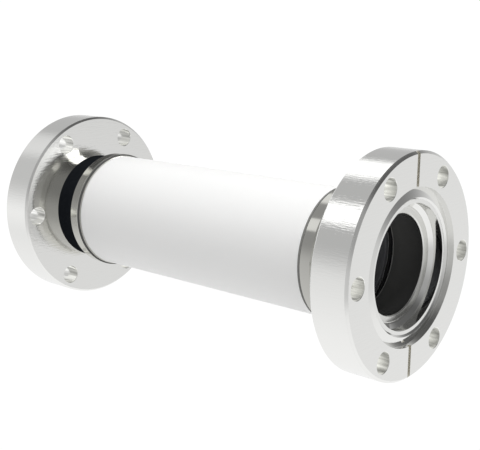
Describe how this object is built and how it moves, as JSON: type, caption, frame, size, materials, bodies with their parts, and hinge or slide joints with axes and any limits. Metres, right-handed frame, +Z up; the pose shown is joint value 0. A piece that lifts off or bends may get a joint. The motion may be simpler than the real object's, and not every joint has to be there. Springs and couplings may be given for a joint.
{
  "type": "ceramic vacuum break",
  "caption": "White ceramic tube joining two bolted knife-edge vacuum flanges through dark necks and polished metal collars, for an electrically isolated vacuum line.",
  "frame": {"origin": "centre of the lower flange's sealing face, which is the surface that the part stands on", "axes": "+Z up along the tube's axis from the lower sealing face to the upper one; the leak check grooves lie along X"},
  "size_m": [0.0694, 0.0694, 0.1543],
  "materials": {
    "ceramic": "fine ground white alumina",
    "flange_steel": "fine turned and brushed stainless steel",
    "tube_steel": "smooth drawn stainless steel",
    "neck_metal": "matt blue-black oxide",
    "collar_metal": "polished nickel-iron alloy"
  },
  "bodies": {
    "root": {"ceramic_tube": "ceramic", "lower_flange": "flange_steel", "upper_flange": "flange_steel", "lower_stub_tube": "tube_steel", "upper_stub_tube": "tube_steel", "lower_adapter_sleeve": "neck_metal", "upper_adapter_sleeve": "neck_metal", "lower_end_collar": "collar_metal", "upper_end_collar": "collar_metal"}
  },
  "joints": []
}
